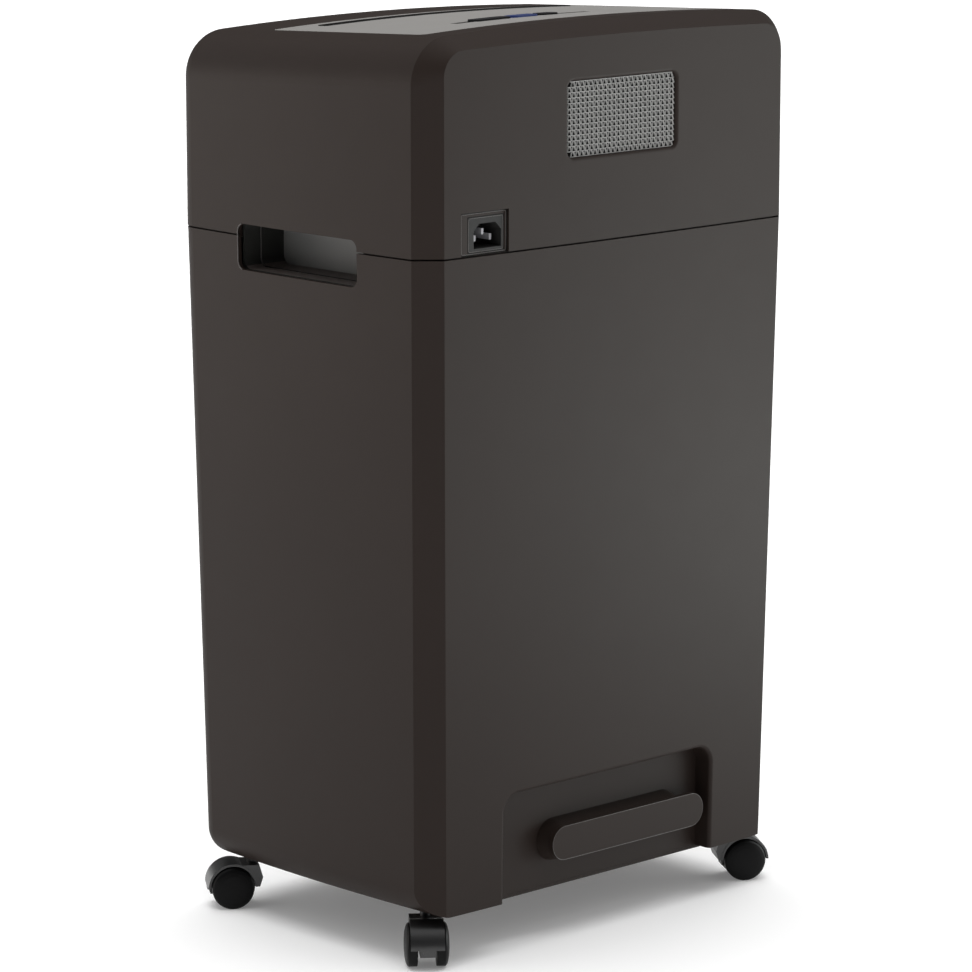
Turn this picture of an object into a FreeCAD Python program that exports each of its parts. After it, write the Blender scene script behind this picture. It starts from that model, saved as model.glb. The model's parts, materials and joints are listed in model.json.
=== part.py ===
import FreeCAD, Part
import math
import os
import re

import Sketcher
from FreeCAD import Placement, Rotation, Vector

# Paper shredder: a motor head on a cabinet with a pull-out waste bin and four swivel casters.
# Origin on the floor under the middle of the footprint, +Z up, front towards -Y, +X to the
# right of a user who faces the front.  Millimetres.

SIZES = {
    # casing as a whole
    "split_z": 483.0,            # joint between cabinet and head
    "split_gap": 1.2,
    "half_width": 175.0,
    "side_crown": 3.2,
    "half_depth": 125.9,
    "end_crown": 2.4,
    "wall": 3.0,
    "rear_chamfer_x": 16.0,
    "rear_chamfer_y": 14.5,
    "front_round": 15.6,
    # head
    "top_mid_z": 625.6,          # top surface above the origin
    "top_slope": 0.045,          # rise of the top towards the rear
    "arch_radius": 2900.0,
    "top_round": 32.0,
    "rear_face_round": 15.0,
    "rear_face_top_z": 620.6,
    # cabinet
    "cabinet_bottom_z": 36.0,
    "side_taper": 0.015,
    "end_taper": 0.0145,
    "bottom_round": 20.0,
    # grey panel in the top
    "panel_half_x": 145.0,
    "panel_front_y": -62.0,
    "panel_rear_y": 90.0,
    "panel_round": 6.0,
    "panel_thick": 2.6,
    "panel_gap": 0.4,
    # paper entry
    "slot_y": -43.0,
    "slot_length": 232.0,
    "slot_width": 7.0,
    "throat_wall": 4.0,
    "throat_bottom_z": 568.0,
    # control strip
    "strip_y": 50.0,
    "strip_left_x": -45.0,
    "strip_length": 125.0,
    "strip_width": 6.6,
    "button_depth": 12.0,
    "reverse_x": 47.5,
    "reverse_length": 32.5,
    "power_x": 17.8,
    "power_length": 24.0,
    "forward_x": -5.0,
    "forward_length": 16.5,
    "button_gap": 0.35,
    # vent in the rear of the head
    "vent_x": -2.5,
    "vent_z": 566.0,
    "vent_width": 102.0,
    "vent_height": 51.0,
    "vent_round": 5.0,
    "vent_edge_round": 2.6,
    "vent_depth": 1.6,
    "mesh_thick": 1.0,
    "mesh_pitch": 3.7,
    "mesh_hole": 2.7,
    # fan behind the vent
    "fan_size": 60.0,
    "fan_depth": 14.0,
    "fan_front_y": 106.0,
    # mains inlet
    "inlet_x": 123.5,
    "inlet_z": 497.8,
    "inlet_width": 42.0,
    "inlet_height": 28.4,
    "inlet_recess": 0.7,
    "flange_x": 121.4,
    "flange_z": 496.9,
    "flange_width": 32.6,
    "flange_height": 23.8,
    "socket_x": 119.8,
    "socket_z": 495.8,
    "socket_width": 24.6,
    "socket_height": 16.4,
    "socket_depth": 16.5,
    "pin_spacing": 7.0,
    "pin_width": 2.0,
    "pin_height": 4.0,
    "pin_length": 14.0,
    # side grips across the joint
    "grip_half_y": 60.5,
    "grip_bottom_z": 459.5,
    "grip_top_z": 491.0,
    "grip_floor_x": 136.0,
    "grip_wall": 2.2,
    "grip_round": 6.0,
    "grip_groove_x": 156.5,
    # cutting block
    "axis_z": 545.0,
    "roll_spacing": 28.4,
    "disc_radius": 19.0,
    "core_radius": 9.0,
    "disc_thick": 3.6,
    "disc_pitch": 8.2,
    "disc_count": 28,
    "roll_half_length": 118.0,
    "journal_radius": 5.0,
    "bush_bore": 5.05,
    "bush_radius": 8.0,
    "plate_inner_x": 121.0,
    "plate_thick": 3.0,
    "plate_front_y": -92.0,
    "plate_rear_y": 72.0,
    "plate_top_z": 582.0,
    "chassis_z": 486.5,
    "chassis_thick": 2.5,
    "finger_thick": 3.4,
    "comb_offset": 24.0,
    "comb_bar_depth": 6.0,
    "comb_bar_height": 30.0,
    "rod_radius": 4.0,
    # gear train on the left of the block
    "roll_teeth": 20,
    "roll_module": 1.42,
    "driven_teeth": 44,
    "idler_small_teeth": 14,
    "second_module": 1.2,
    "idler_large_teeth": 50,
    "pinion_teeth": 12,
    "first_module": 1.0,
    "motor_radius": 31.0,
    "motor_length": 108.0,
    "motor_shaft_radius": 3.0,
    "idler_pin_radius": 4.0,
    "running_gap": 0.05,
    # bin and its front
    "opening_half_x": 159.5,
    "opening_bottom_z": 50.0,
    "opening_top_z": 471.0,
    "front_gap": 1.2,
    "front_thick": 4.0,
    "bin_half_x": 149.0,
    "bin_front_y": -112.0,
    "bin_rear_y": 96.0,
    "bin_bottom_z": 57.0,
    "bin_top_z": 425.0,
    "bin_wall": 2.5,
    "rail_half_x": 124.0,
    "rail_width": 10.0,
    "rail_top_z": 56.5,
    "window_half_x": 32.0,
    "window_bottom_z": 150.0,
    "window_top_z": 330.0,
    "handle_half_x": 55.0,
    "handle_bottom_z": 428.0,
    "handle_top_z": 458.0,
    "handle_depth": 20.0,
    # rear recess with the cord bar
    "recess_half_x": 100.3,
    "recess_top_z": 111.8,
    "recess_wall_y": 107.0,
    "recess_round": 13.3,
    "recess_edge_round": 2.7,
    "bar_z": 68.0,
    "bar_height": 24.0,
    "bar_left_x": -93.0,
    "bar_right_x": 55.0,
    "bar_face_y": 121.6,
    "bar_plate": 4.0,
    "stem_left_x": -77.0,
    "stem_right_x": 53.5,
    "base_half_x": 108.0,
    "base_front": 104.0,
    "base_bottom_z": 33.8,
    # casters
    "caster_x": 145.3,
    "caster_y": 90.7,
    "caster_trail": 14.5,
    "wheel_radius": 14.9,
    "tread_inner": 6.5,
    "tread_outer": 12.8,
    "wheel_dome": 2.6,
    "hood_outer": 17.4,
    "hood_inner": 15.8,
    "hood_half_width": 11.5,
    "web_half_width": 5.2,
    "hood_top_z": 32.4,
    "hood_low_z": 15.2,
    "skirt_low_z": 14.2,
    "block_half_width": 11.1,
    "block_drop": 1.4,
    "stem_radius": 3.6,
    "stem_top_z": 52.0,
    "socket_radius": 5.4,
    "socket_bottom_z": 35.6,
    "socket_top_z": 55.0,
    "axle_radius": 2.0,
}

DOC = FreeCAD.newDocument("paper_shredder")
SHEET = DOC.addObject("Spreadsheet::Sheet", "Sizes")
NODES = []


def fill_sheet():
    """Write every driving size into the sheet with its alias."""
    for row, (alias, value) in enumerate(SIZES.items(), start=1):
        SHEET.set("A%d" % row, alias)
        SHEET.set("B%d" % row, str(value))
        SHEET.setAlias("B%d" % row, alias)
    DOC.recompute()


def size(alias):
    """Value of one cell of the sheet."""
    return float(SHEET.get(alias))


def formula(text):
    """Turn plain alias names into references to the sheet."""
    return re.sub(r"[A-Za-z_]\w*", lambda match: "Sizes." + match.group(0), str(text))


def bind(obj, **properties):
    """Bind properties of an object to formulas over the sheet."""
    for name, text in properties.items():
        obj.setExpression(name, formula(text))
    return obj


def move(obj, at, rotation=None):
    """Place an object by formulas, with an optional rotation."""
    if rotation is not None:
        obj.Placement = Placement(Vector(), rotation)
    for axis, text in zip("xyz", at):
        obj.setExpression("Placement.Base." + axis, formula(text))
    return obj


def box(name, lengths, at):
    """Box with its low corner at a place; all six are formulas."""
    obj = DOC.addObject("Part::Box", name)
    bind(obj, Length=lengths[0], Width=lengths[1], Height=lengths[2])
    return move(obj, at)


def cylinder(name, radius, length, at, rotation=None):
    """Cylinder from a place along its own +Z."""
    obj = DOC.addObject("Part::Cylinder", name)
    bind(obj, Radius=radius, Height=length)
    return move(obj, at, rotation)


def fuse(name, *parts):
    obj = DOC.addObject("Part::MultiFuse", name)
    obj.Shapes = list(parts)
    return obj


def cut(name, base, *tools):
    obj = DOC.addObject("Part::Cut", name)
    obj.Base = base
    obj.Tool = tools[0] if len(tools) == 1 else fuse(name + "_tools", *tools)
    return obj


def common(name, first, second):
    obj = DOC.addObject("Part::Common", name)
    obj.Base = first
    obj.Tool = second
    return obj


def group(name, *parts):
    obj = DOC.addObject("Part::Compound", name)
    obj.Links = list(parts)
    return obj


def feature(name, shape, placement=None):
    obj = DOC.addObject("Part::Feature", name)
    obj.Shape = shape
    if placement is not None:
        obj.Placement = placement
    return obj


def node(obj, label):
    """Mark an object as one named piece of the shredder."""
    obj.Label = label
    NODES.append(obj)
    return obj


ALONG_X = Rotation(Vector(0, 1, 0), 90)
ALONG_Y = Rotation(Vector(1, 0, 0), -90)


# ---------------------------------------------------------------- PartDesign helpers

def new_body(name):
    return DOC.addObject("PartDesign::Body", name)


def new_sketch(body, name, height=0.0):
    """Sketch on the body's own XY plane, raised by a height."""
    sketch = body.newObject("Sketcher::SketchObject", name)
    plane = [item for item in body.Origin.OriginFeatures if item.Role == "XY_Plane"][0]
    sketch.AttachmentSupport = (plane, "")
    sketch.MapMode = "FlatFace"
    sketch.AttachmentOffset = Placement(Vector(0, 0, height), Rotation())
    return sketch


def sketch_circle(sketch, radius, centre=(0.0, 0.0)):
    """Circle whose radius follows a formula."""
    index = sketch.addGeometry(Part.Circle(Vector(centre[0], centre[1], 0), Vector(0, 0, 1), 1.0))
    sketch.addConstraint(Sketcher.Constraint("Radius", index, 1.0))
    sketch.setExpression("Constraints[%d]" % (sketch.ConstraintCount - 1), formula(radius))
    for direction, value in (("DistanceX", centre[0]), ("DistanceY", centre[1])):
        sketch.addConstraint(Sketcher.Constraint(direction, -1, 1, index, 3, value))


def sketch_rectangle(sketch, length, width):
    """Rectangle about the sketch's origin whose two sizes follow formulas."""
    corners = [Vector(-5, -5, 0), Vector(5, -5, 0), Vector(5, 5, 0), Vector(-5, 5, 0)]
    first = sketch.GeometryCount
    for start, end in zip(corners, corners[1:] + corners[:1]):
        sketch.addGeometry(Part.LineSegment(start, end))
    for step in range(4):
        sketch.addConstraint(
            Sketcher.Constraint("Coincident", first + step, 2, first + (step + 1) % 4, 1))
        kind = "Vertical" if step % 2 else "Horizontal"
        sketch.addConstraint(Sketcher.Constraint(kind, first + step))
    sketch.addConstraint(Sketcher.Constraint("Symmetric", first, 1, first + 2, 1, -1, 1))
    sketch.addConstraint(Sketcher.Constraint("DistanceX", first, 1, first, 2, 10.0))
    sketch.setExpression("Constraints[%d]" % (sketch.ConstraintCount - 1), formula(length))
    sketch.addConstraint(Sketcher.Constraint("DistanceY", first + 1, 1, first + 1, 2, 10.0))
    sketch.setExpression("Constraints[%d]" % (sketch.ConstraintCount - 1), formula(width))


def sketch_polygon(sketch, points):
    """Closed outline through points."""
    corners = [Vector(x, y, 0) for x, y in points]
    first = sketch.GeometryCount
    lines = [Part.LineSegment(a, b) for a, b in zip(corners, corners[1:] + corners[:1])]
    sketch.addGeometry(lines, False)
    joints = []
    for step in range(len(lines)):
        joints.append(
            Sketcher.Constraint("Coincident", first + step, 2, first + (step + 1) % len(lines), 1))
    sketch.addConstraint(joints)


def pad(body, name, sketch, length):
    obj = body.newObject("PartDesign::Pad", name)
    obj.Profile = sketch
    obj.setExpression("Length", formula(length))
    DOC.recompute()
    return obj


def pocket_through(body, name, sketch):
    """Cut a sketch through the whole solid, both ways."""
    before = body.Shape.Volume
    obj = body.newObject("PartDesign::Pocket", name)
    obj.Profile = sketch
    obj.Type = "ThroughAll"
    obj.Midplane = True
    DOC.recompute()
    if body.Shape.Volume >= before:
        raise RuntimeError(name + " cuts nothing")
    return obj


def revolve(body, name, sketch):
    """Turn a sketch about the sketch's own X axis."""
    obj = body.newObject("PartDesign::Revolution", name)
    obj.Profile = sketch
    obj.ReferenceAxis = (sketch, ["H_Axis"])
    obj.Angle = 360
    DOC.recompute()
    return obj


def edges_parallel(shape, direction):
    """Names of the straight edges that run along a direction."""
    names = []
    for number, edge in enumerate(shape.Edges, start=1):
        if edge.Curve.TypeId != "Part::GeomLine":
            continue
        if edge.Curve.Direction.cross(direction).Length < 1e-6:
            names.append("Edge%d" % number)
    return names


def round_edges(body, name, base, direction, radius):
    """Fillet the straight edges of a feature that run along a direction."""
    obj = body.newObject("PartDesign::Fillet", name)
    obj.Base = (base, edges_parallel(base.Shape, direction))
    obj.setExpression("Radius", formula(radius))
    DOC.recompute()
    return obj


def rounded_block(name, length, width, height, radius, at, rotation=None):
    """Body: a block centred on its place, upright edges rounded."""
    body = new_body(name)
    sketch = new_sketch(body, name + "_outline")
    sketch_rectangle(sketch, length, width)
    solid = pad(body, name + "_pad", sketch, height)
    round_edges(body, name + "_round", solid, Vector(0, 0, 1), radius)
    return move(body, at, rotation)


# ---------------------------------------------------------------- casing surfaces

def top_height(y, x=0.0):
    """Height of the outer top surface."""
    return size("top_mid_z") + size("top_slope") * y - x * x / (2 * size("arch_radius"))


def crown_centre_y():
    """Middle of the crowned side faces."""
    front = -size("half_depth") + size("front_round")
    rear = size("half_depth") - size("rear_chamfer_y")
    return (front + rear) / 2, (rear - front) / 2


def side_x(y):
    """Half width of the casing at the joint, at a place along the depth."""
    centre, half = crown_centre_y()
    return size("half_width") + size("side_crown") * (1 - ((y - centre) / half) ** 2)


def head_section(y, half_width, crown_z, corner, base_z):
    """Front-view outline of the head at one depth: flat sides, round corners, arched top."""
    arch = size("arch_radius")
    arch_z = crown_z - arch
    corner_x = half_width - corner
    corner_z = arch_z + math.sqrt((arch - corner) ** 2 - corner_x ** 2)
    reach = arch / (arch - corner)
    end_x = corner_x * reach
    end_z = arch_z + (corner_z - arch_z) * reach
    bend = math.atan2(corner_z - arch_z, corner_x) / 2
    mid_x = corner_x + corner * math.cos(bend)
    mid_z = corner_z + corner * math.sin(bend)
    low_left = Vector(-half_width, y, base_z)
    low_right = Vector(half_width, y, base_z)
    side_right = Vector(half_width, y, corner_z)
    side_left = Vector(-half_width, y, corner_z)
    top_right = Vector(end_x, y, end_z)
    top_left = Vector(-end_x, y, end_z)
    return Part.Wire([
        Part.LineSegment(low_left, low_right).toShape(),
        Part.LineSegment(low_right, side_right).toShape(),
        Part.Arc(side_right, Vector(mid_x, y, mid_z), top_right).toShape(),
        Part.Arc(top_right, Vector(0, y, crown_z), top_left).toShape(),
        Part.Arc(top_left, Vector(-mid_x, y, mid_z), side_left).toShape(),
        Part.LineSegment(side_left, low_left).toShape(),
    ])


def bowed_prism(inset, base_z, height):
    """Upright prism between the bowed front and the bowed rear of the head."""
    reach = size("half_width") + 20
    rear = size("half_depth") - inset
    bow = size("end_crown")
    rear_span = size("half_width") - size("rear_chamfer_x")
    rear_drop = bow * (reach / rear_span) ** 2
    front_drop = bow * (reach / size("half_width")) ** 2
    rear_end = rear + bow - rear_drop
    front_end = -(rear + bow - front_drop)
    outline = Part.Wire([
        Part.Arc(Vector(reach, rear_end, base_z), Vector(0, rear + bow, base_z),
                 Vector(-reach, rear_end, base_z)).toShape(),
        Part.LineSegment(Vector(-reach, rear_end, base_z), Vector(-reach, front_end, base_z)).toShape(),
        Part.Arc(Vector(-reach, front_end, base_z), Vector(0, -rear - bow, base_z),
                 Vector(reach, front_end, base_z)).toShape(),
        Part.LineSegment(Vector(reach, front_end, base_z), Vector(reach, rear_end, base_z)).toShape(),
    ])
    return Part.Face(outline).extrude(Vector(0, 0, height))


def head_solid(inset, base_z):
    """Solid head with crowned sides and a broad chamfer round its rear face."""
    chamfer_start = size("half_depth") - size("rear_chamfer_y")
    front_y = -size("half_depth") - size("end_crown") - 2
    corner = size("top_round") - inset
    sections = []
    steps = 6
    for step in range(steps + 1):
        y = front_y + (chamfer_start - front_y) * step / steps
        sections.append(
            head_section(y, side_x(y) - inset, top_height(y) - inset, corner, base_z))
    trunk = Part.makeLoft(sections, True, False)
    rear_y = size("half_depth") + size("end_crown")
    narrowing = size("rear_chamfer_x") * (rear_y - chamfer_start) / size("rear_chamfer_y")
    rear = head_section(rear_y, size("half_width") - narrowing - inset,
                        size("rear_face_top_z") - inset, size("rear_face_round"), base_z)
    band = Part.makeLoft([sections[-1], rear], True, True)
    whole = trunk.fuse(band).removeSplitter()
    height = size("top_mid_z") + 50 - base_z
    whole = whole.common(bowed_prism(inset, base_z, height))
    limit = size("front_round") + 1 - size("half_depth")
    return whole.makeFillet(size("front_round") - inset, front_edges(whole, limit, base_z))


def front_edges(shape, limit_y, low_z):
    """Edges of the front face above a height."""
    found = []
    for edge in shape.Edges:
        bounds = edge.BoundBox
        if bounds.YMax < limit_y and bounds.ZMax > low_z + 1:
            found.append(edge)
    return found


def plan_corners(z, inset):
    """Half width, end and rear chamfer corner of the cabinet's plan at a height."""
    drop = size("split_z") - z
    half_x = size("half_width") - size("side_taper") * drop - inset
    end_y = size("half_depth") - size("end_taper") * drop - inset
    return half_x, end_y, half_x - size("rear_chamfer_x"), end_y - size("rear_chamfer_y")


def plan_outline(z, inset):
    """Horizontal outline of the cabinet: bowed faces, round front and chamfered rear corners."""
    half_x, end_y, cut_x, cut_y = plan_corners(z, inset)
    turn = size("front_round") - inset
    bend = turn * (1 - math.sqrt(0.5))
    bow = size("end_crown")
    side = size("side_crown")
    middle_y = (cut_y - end_y + turn) / 2

    def at(x, y):
        return Vector(x, y, z)

    edges = [
        Part.Arc(at(cut_x, end_y), at(0, end_y + bow), at(-cut_x, end_y)),
        Part.LineSegment(at(-cut_x, end_y), at(-half_x, cut_y)),
        Part.Arc(at(-half_x, cut_y), at(-half_x - side, middle_y), at(-half_x, turn - end_y)),
        Part.Arc(at(-half_x, turn - end_y), at(-half_x + bend, bend - end_y),
                 at(-half_x + turn, -end_y)),
        Part.Arc(at(-half_x + turn, -end_y), at(0, -end_y - bow), at(half_x - turn, -end_y)),
        Part.Arc(at(half_x - turn, -end_y), at(half_x - bend, bend - end_y),
                 at(half_x, turn - end_y)),
        Part.Arc(at(half_x, turn - end_y), at(half_x + side, middle_y), at(half_x, cut_y)),
        Part.LineSegment(at(half_x, cut_y), at(cut_x, end_y)),
    ]
    return Part.Wire([edge.toShape() for edge in edges])


def sharp_outline(z, inset):
    """Horizontal outline of the cabinet before its corners are rounded or chamfered."""
    half_x, end_y, cut_x, cut_y = plan_corners(z, inset)
    side = size("side_crown")
    bow = size("end_crown")
    middle_y = crown_centre_y()[0]
    half = cut_y - middle_y
    front_x = half_x + side * (1 - ((-end_y - middle_y) / half) ** 2)
    rear_x = half_x + side * (1 - ((end_y - middle_y) / half) ** 2)
    front_y = -end_y - bow * (1 - (front_x / cut_x) ** 2)
    rear_y = end_y + bow * (1 - (rear_x / cut_x) ** 2)
    left_front = Vector(-front_x, front_y, z)
    left_rear = Vector(-rear_x, rear_y, z)
    right_front = Vector(front_x, front_y, z)
    right_rear = Vector(rear_x, rear_y, z)
    edges = [
        Part.Arc(right_rear, Vector(0, end_y + bow, z), left_rear),
        Part.Arc(left_rear, Vector(-half_x - side, middle_y, z), left_front),
        Part.Arc(left_front, Vector(0, -end_y - bow, z), right_front),
        Part.Arc(right_front, Vector(half_x + side, middle_y, z), right_rear),
    ]
    return Part.Wire([edge.toShape() for edge in edges])


def chamfer_tool(side, inset, bottom_z, top_z):
    """Wedge outside one rear chamfer of the cabinet, leaning with its faces."""
    sections = []
    for z in (bottom_z, top_z):
        half_x, end_y, cut_x, cut_y = plan_corners(z, inset)
        run = 1.5
        step_x = run * (half_x - cut_x)
        step_y = run * (end_y - cut_y)
        first = Vector(side * (cut_x - step_x), end_y + step_y, z)
        second = Vector(side * (half_x + step_x), cut_y - step_y, z)
        third = Vector(side * (half_x + step_x), end_y + step_y, z)
        sections.append(Part.makePolygon([first, second, third, first]))
    return Part.makeLoft(sections, True, True)


def lower_side_edges(shape, bottom_z):
    """Bottom edges of the hull that run from front to rear."""
    found = []
    for edge in shape.Edges:
        bounds = edge.BoundBox
        along_side = bounds.YMax - bounds.YMin > size("half_depth")
        if along_side and bounds.XMax - bounds.XMin < 10 and bounds.ZMax < bottom_z + 1:
            found.append(edge)
    return found


def cabinet_solid(inset, bottom_z, top_z):
    """Tapered cabinet: rounded lower sides, rounded front face, chamfered rear corners."""
    body = Part.makeLoft([sharp_outline(bottom_z, inset), sharp_outline(top_z, inset)], True, True)
    body = body.makeFillet(size("bottom_round") - inset, lower_side_edges(body, bottom_z))
    rounded = [edge for edge in body.Edges
               if edge.BoundBox.YMax < 20 - size("half_depth") and edge.BoundBox.ZMin < top_z - 1]
    body = body.makeFillet(size("front_round") - inset, rounded)
    tools = [chamfer_tool(side, inset, bottom_z - 1, top_z + 1) for side in (-1, 1)]
    return body.cut(tools)


def under_top(name, depth):
    """Everything below a surface that lies a depth under the arched, sloping top."""
    reach = size("half_width") + 10
    front_y = -size("half_depth") - 20
    crown_z = top_height(front_y) - depth
    edge_z = crown_z - reach * reach / (2 * size("arch_radius"))
    floor_z = size("split_z")
    outline = Part.Wire([
        Part.Arc(Vector(reach, front_y, edge_z), Vector(0, front_y, crown_z),
                 Vector(-reach, front_y, edge_z)).toShape(),
        Part.LineSegment(Vector(-reach, front_y, edge_z), Vector(-reach, front_y, floor_z)).toShape(),
        Part.LineSegment(Vector(-reach, front_y, floor_z), Vector(reach, front_y, floor_z)).toShape(),
        Part.LineSegment(Vector(reach, front_y, floor_z), Vector(reach, front_y, edge_z)).toShape(),
    ])
    length = 2 * size("half_depth") + 40
    return feature(name, Part.Face(outline).extrude(Vector(0, length, size("top_slope") * length)))


# ---------------------------------------------------------------- head casing

def grip_opening(name):
    """Tool that cuts the hand openings of both sides."""
    return rounded_block(name, "grip_top_z - grip_bottom_z", "2 * grip_half_y", "2 * half_width + 40",
                         "grip_round", ("-half_width - 20", "0", "(grip_top_z + grip_bottom_z) / 2"),
                         ALONG_X)


def round_rear_opening(shape, area, least_y, radius):
    """Rounds the outer edges of an opening in the rear face; area is its middle x, half width and z range."""
    middle, half, low, high = area
    edges = []
    for edge in shape.Edges:
        bounds = edge.BoundBox
        inside_x = bounds.XMin > middle - half - 0.1 and bounds.XMax < middle + half + 0.1
        inside_z = bounds.ZMin > low - 0.1 and bounds.ZMax < high + 0.1
        if inside_x and inside_z and bounds.YMin > least_y:
            edges.append(edge)
    return shape.makeFillet(radius, edges)


def make_upper_casing():
    """Outer shell of the head, open below, with its openings."""
    base_z = size("split_z") + size("split_gap") / 2
    outer_body = feature("head_outer", head_solid(0, base_z))
    inner_body = feature("head_inner", head_solid(size("wall"), base_z - 1))
    opening = rounded_block(
        "panel_opening", "2 * panel_half_x", "panel_rear_y - panel_front_y", "80", "panel_round",
        ("0", "(panel_front_y + panel_rear_y) / 2", "top_mid_z - 40"))
    shell = cut("casing_shell", outer_body, inner_body, opening)
    ring_outer = rounded_block(
        "ledge_outer", "2 * panel_half_x + 8", "panel_rear_y - panel_front_y + 8", "80", "panel_round",
        ("0", "(panel_front_y + panel_rear_y) / 2", "top_mid_z - 40"))
    ring_inner = rounded_block(
        "ledge_inner", "2 * panel_half_x - 10", "panel_rear_y - panel_front_y - 10", "90", "3",
        ("0", "(panel_front_y + panel_rear_y) / 2", "top_mid_z - 45"))
    layer = cut("ledge_layer", under_top("ledge_upper_side", size("panel_thick") + 0.1),
                under_top("ledge_lower_side", size("panel_thick") + 2.6))
    ring = cut("ledge_ring", ring_outer, ring_inner)
    ledge = common("panel_ledge", layer, ring)
    grips = grip_opening("head_grip_cut")
    vent = rounded_block("vent_cut", "vent_width", "vent_height", "60", "vent_round",
                         ("vent_x", "half_depth - 30", "vent_z"), ALONG_Y)
    inlet = box("inlet_cut", ("inlet_width", "40", "inlet_height"),
                ("inlet_x - inlet_width / 2", "half_depth - 20", "inlet_z - inlet_height / 2"))
    foot = box("inlet_foot_cut", ("inlet_width", "40", "6"),
               ("inlet_x - inlet_width / 2", "half_depth - 20", "inlet_z - inlet_height / 2 - 5"))
    whole = fuse("casing_with_ledge", shell, ledge)
    sharp = cut("casing_sharp", whole, grips, vent, inlet, foot)
    DOC.recompute()
    area = (size("vent_x"), size("vent_width") / 2, size("vent_z") - size("vent_height") / 2,
            size("vent_z") + size("vent_height") / 2)
    soft = round_rear_opening(sharp.Shape, area, size("half_depth") + 0.9, size("vent_edge_round"))
    node(feature("upper_casing", soft), "upper_casing")


def layer_under_top(name, upper, lower):
    """Slab that follows the top between two depths below it."""
    return cut(name, under_top(name + "_upper", upper), under_top(name + "_lower", lower))


def slot_tool(name, grow, low_z, high):
    """Upright prism on the paper entry, grown all round."""
    return box(name, ("slot_length + 2 * (%s)" % grow, "slot_width + 2 * (%s)" % grow, high),
               ("-slot_length / 2 - (%s)" % grow, "slot_y - slot_width / 2 - (%s)" % grow, low_z))


def button_prism(name, key, grow):
    """Upright prism over one button, grown all round."""
    return rounded_block(
        name, "%s_length + 2 * (%s)" % (key, grow), "button_depth + 2 * (%s)" % grow, "60",
        "button_depth / 3", (key + "_x", "strip_y", "top_mid_z - 30"))


def make_top_panel():
    """Grey panel let into the top, with the paper entry and the control strip cut out."""
    blank = rounded_block(
        "panel_blank", "2 * panel_half_x - 2 * panel_gap",
        "panel_rear_y - panel_front_y - 2 * panel_gap", "80", "panel_round - panel_gap",
        ("0", "(panel_front_y + panel_rear_y) / 2", "top_mid_z - 40"))
    slab = common("panel_slab", layer_under_top("panel_layer", 0.0, size("panel_thick")), blank)
    slot = slot_tool("panel_slot", "0", "top_mid_z - 40", "80")
    strip = box("panel_strip", ("strip_length + 2 * button_gap", "strip_width + 2 * button_gap", "60"),
                ("strip_left_x - button_gap", "strip_y - strip_width / 2 - button_gap",
                 "top_mid_z - 30"))
    holes = [button_prism("panel_hole_" + key, key, "button_gap")
             for key in ("reverse", "power", "forward")]
    node(cut("top_panel", slab, slot, strip, *holes), "top_panel")


def make_feed_throat():
    """Funnel wall from under the panel down to the cutting rolls."""
    outer = slot_tool("throat_outer", "throat_wall", "throat_bottom_z", "80")
    inner = slot_tool("throat_inner", "0", "throat_bottom_z - 1", "90")
    tube = cut("throat_tube", outer, inner)
    below = under_top("throat_top", size("panel_thick") + 0.2)
    node(common("feed_throat", tube, below), "feed_throat")


def make_control_strip():
    """Dark strip in the groove, with a tray below it that guides three buttons."""
    depth = size("panel_thick")
    tray = common(
        "bezel_tray", layer_under_top("bezel_layer", depth + 0.2, depth + 1.8),
        box("bezel_area", ("strip_length + 10", "button_depth + 8", "60"),
            ("strip_left_x - 5", "strip_y - button_depth / 2 - 4", "top_mid_z - 30")))
    rib = common(
        "bezel_rib", layer_under_top("rib_layer", 0.9, depth + 0.4),
        box("rib_area", ("strip_length", "strip_width", "60"),
            ("strip_left_x", "strip_y - strip_width / 2", "top_mid_z - 30")))
    clear = [button_prism("bezel_clear_" + key, key, "button_gap")
             for key in ("reverse", "power", "forward")]
    upper = cut("bezel_ribs", rib, *clear)
    stems = [cylinder("bezel_hole_" + key, "3.3", "60", (key + "_x", "strip_y", "top_mid_z - 30"))
             for key in ("reverse", "power", "forward")]
    node(cut("control_bezel", fuse("bezel_whole", tray, upper), *stems), "control_bezel")
    for key, rise in (("reverse", 0.3), ("power", 0.3), ("forward", 0.3)):
        cap = common(key + "_cap", layer_under_top(key + "_layer", rise, depth - 0.8),
                     button_prism(key + "_prism", key, "0"))
        stem = common(key + "_stem", layer_under_top(key + "_stem_layer", depth - 0.9, 9.0),
                      cylinder(key + "_rod", "3.0", "60", (key + "_x", "strip_y", "top_mid_z - 30")))
        node(fuse(key + "_button", cap, stem), key + "_button")


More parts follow.
